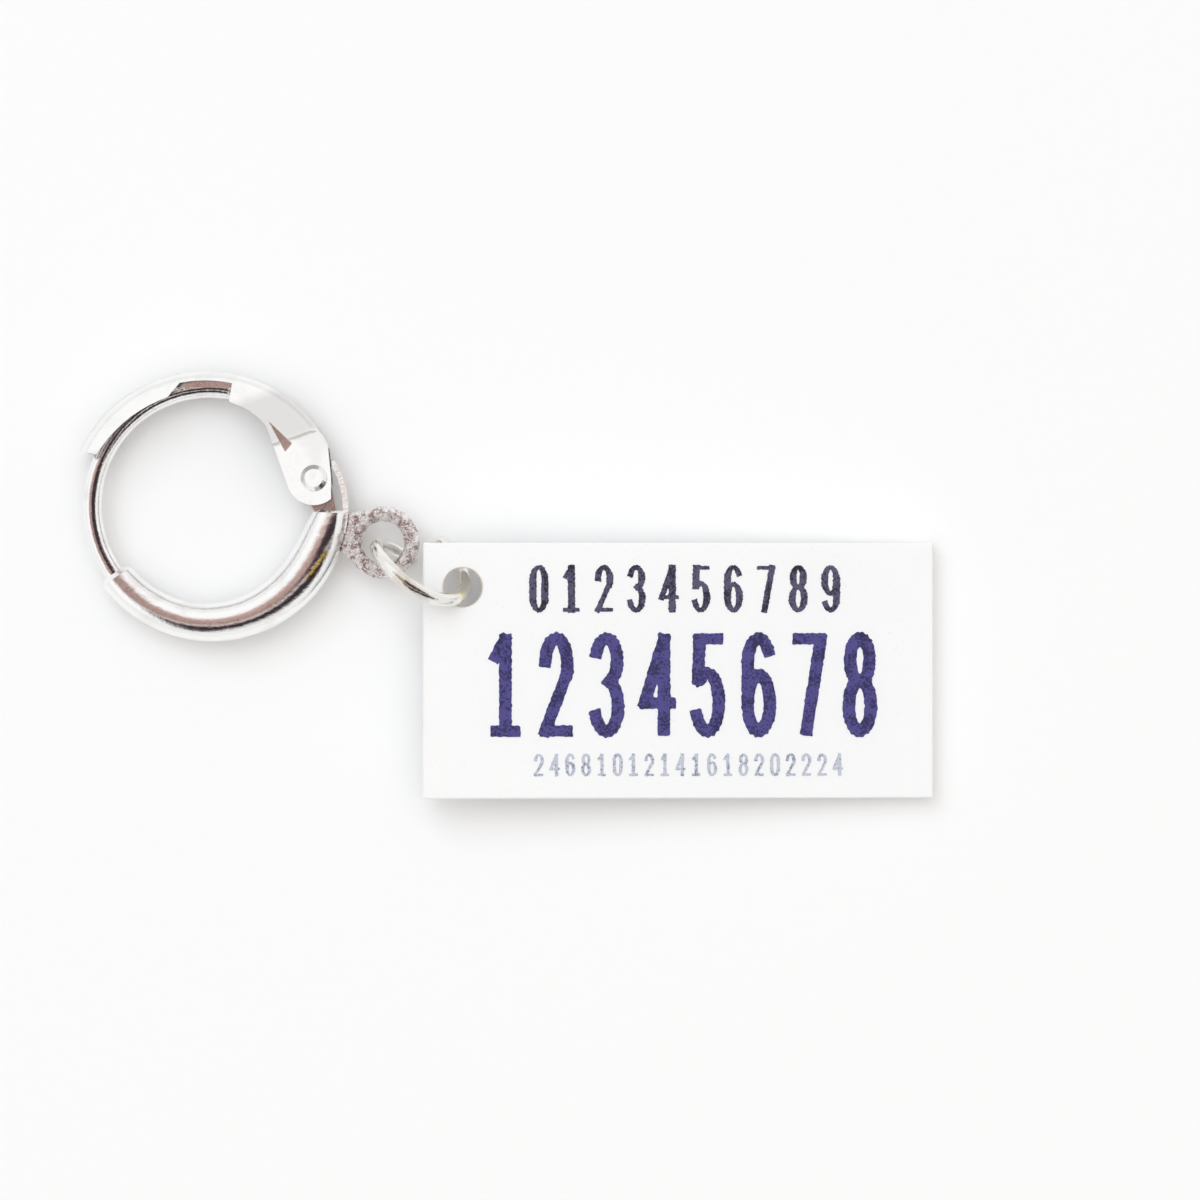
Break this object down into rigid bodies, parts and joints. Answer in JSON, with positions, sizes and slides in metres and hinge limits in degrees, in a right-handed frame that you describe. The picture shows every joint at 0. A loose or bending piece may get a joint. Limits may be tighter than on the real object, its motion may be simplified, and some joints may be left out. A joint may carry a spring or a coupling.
{
  "type": "stitch marker",
  "caption": "Lever-back hoop that clips over a knitting needle, with a rectangular plate hung from its cast eye on an opened jump ring.",
  "frame": {"origin": "centre of the hoop, on its mid-plane", "axes": "+Z along the needle's path and up from the table the marker lies on, +X from the hoop towards the hanging plate, along the plate's length"},
  "size_m": [0.0424, 0.0213, 0.0051],
  "materials": {
    "hoop_silver": "bright silver plating, mirror smooth",
    "tongue_silver": "silver plating, satin",
    "leaf_silver": "silver plating, bright",
    "wire_silver": "bright silver plating, mirror smooth",
    "rivet_silver": "silver plating, bright",
    "eye_cast": "silver plating over a rough casting",
    "lever_silver": "bright silver plating, flat cheeks",
    "ring_silver": "silver plating, smooth wire",
    "plate_white": "white plastic, satin"
  },
  "bodies": {
    "hoop": {"hoop_body": "hoop_silver", "hinge_tongue": "tongue_silver", "leaf_spring": "leaf_silver", "post_wire": "wire_silver", "hinge_rivet": "rivet_silver", "charm_eye": "eye_cast"},
    "lever": {"lever": "lever_silver"},
    "ring": {"jump_ring": "ring_silver"},
    "charm": {"charm_plate": "plate_white"}
  },
  "joints": [
    {"name": "lever_hinge", "type": "hinge", "parent": "hoop", "child": "lever", "pos_m": [0.005, 0.00133, 0], "axis": [0, 0, -1], "range_deg": [0, 75]},
    {"name": "ring_swing", "type": "hinge", "parent": "hoop", "child": "ring", "pos_m": [0.00841, -0.00186, 0], "axis": [0, 0, 1], "range_deg": [-60, 60]},
    {"name": "charm_flip", "type": "hinge", "parent": "ring", "child": "charm", "pos_m": [0.01039, -0.00283, 0.00105], "axis": [-0.5538, -0.66, -0.5075], "range_deg": [0, 80]}
  ]
}
